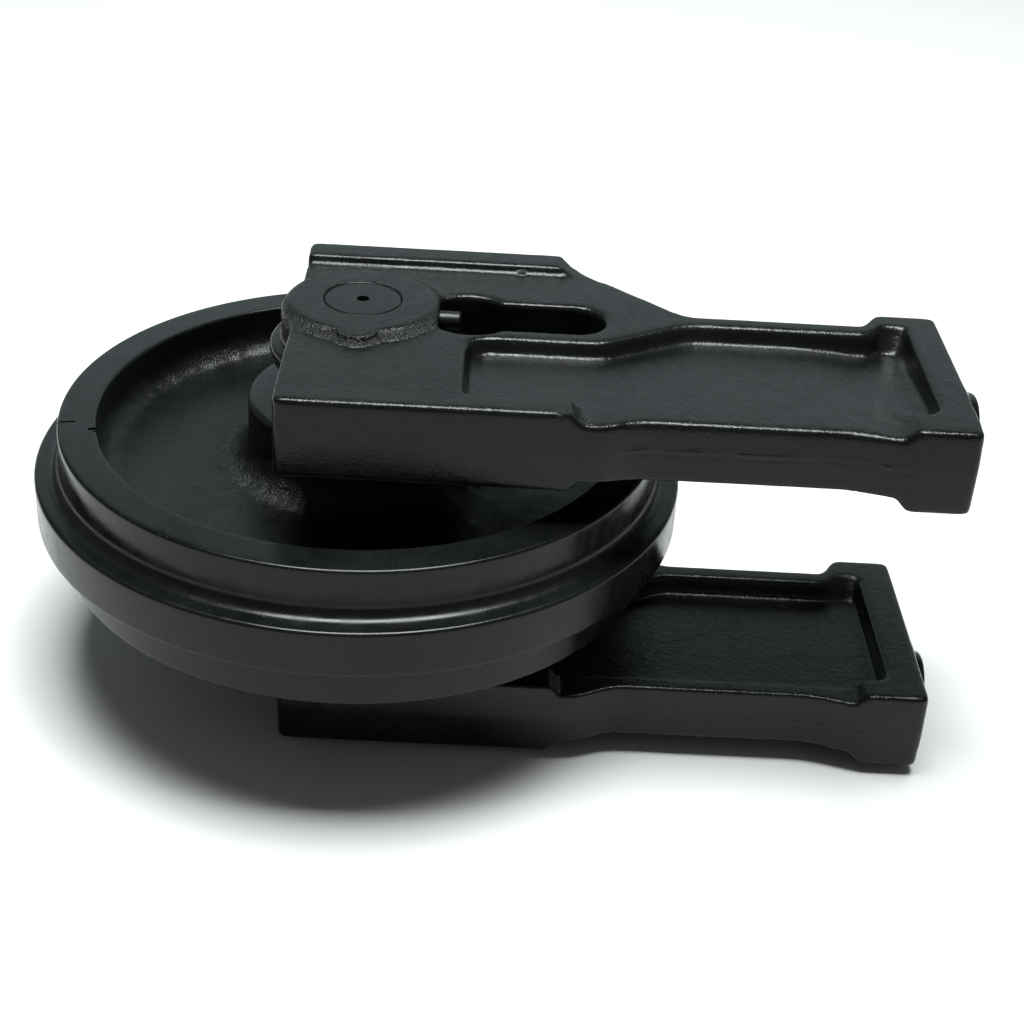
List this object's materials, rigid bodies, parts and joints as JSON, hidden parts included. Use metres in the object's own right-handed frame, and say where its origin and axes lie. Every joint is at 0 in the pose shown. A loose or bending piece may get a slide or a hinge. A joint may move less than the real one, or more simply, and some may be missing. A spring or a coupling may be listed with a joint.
{
  "type": "excavator front idler",
  "caption": "Flanged track idler wheel turning on a fixed shaft between two mirrored cast brackets whose pocketed arms bolt to the track tensioner.",
  "frame": {"origin": "centre of the wheel: on its axis, midway between the two brackets", "axes": "+Z along the wheel axis towards the upper bracket, +X along the bracket arms towards the track tensioner, +Y across the track guides away from the camera"},
  "size_m": [0.5035, 0.36, 0.2206],
  "materials": {
    "wheel_paint": "semi-gloss black paint over rough cast steel",
    "bracket_paint": "semi-gloss black paint over cast steel",
    "shaft_steel": "turned steel, ends painted black with the brackets",
    "pin_steel": "steel pin, painted black with the brackets",
    "plug_steel": "dark oxide steel",
    "bush_bronze": "bare bronze, machined",
    "seal_iron": "lapped hard iron",
    "seal_rubber": "matt black rubber"
  },
  "bodies": {
    "yoke": {"shaft": "shaft_steel", "upper_bracket": "bracket_paint", "lower_bracket": "bracket_paint", "upper_bracket_seal_ring": "seal_iron", "lower_bracket_seal_ring": "seal_iron", "upper_bracket_toric": "seal_rubber", "lower_bracket_toric": "seal_rubber", "upper_shaft_oring": "seal_rubber", "lower_shaft_oring": "seal_rubber", "upper_lock_pin": "pin_steel", "lower_lock_pin": "pin_steel", "upper_oil_plug": "plug_steel", "lower_oil_plug": "plug_steel"},
    "wheel": {"idler_wheel": "wheel_paint", "upper_bush": "bush_bronze", "lower_bush": "bush_bronze", "upper_wheel_seal_ring": "seal_iron", "lower_wheel_seal_ring": "seal_iron", "upper_wheel_toric": "seal_rubber", "lower_wheel_toric": "seal_rubber"}
  },
  "joints": [
    {"name": "wheel_spin", "type": "hinge", "parent": "yoke", "child": "wheel", "pos_m": [0, 0, 0], "axis": [0, 0, 1], "continuous": true}
  ]
}
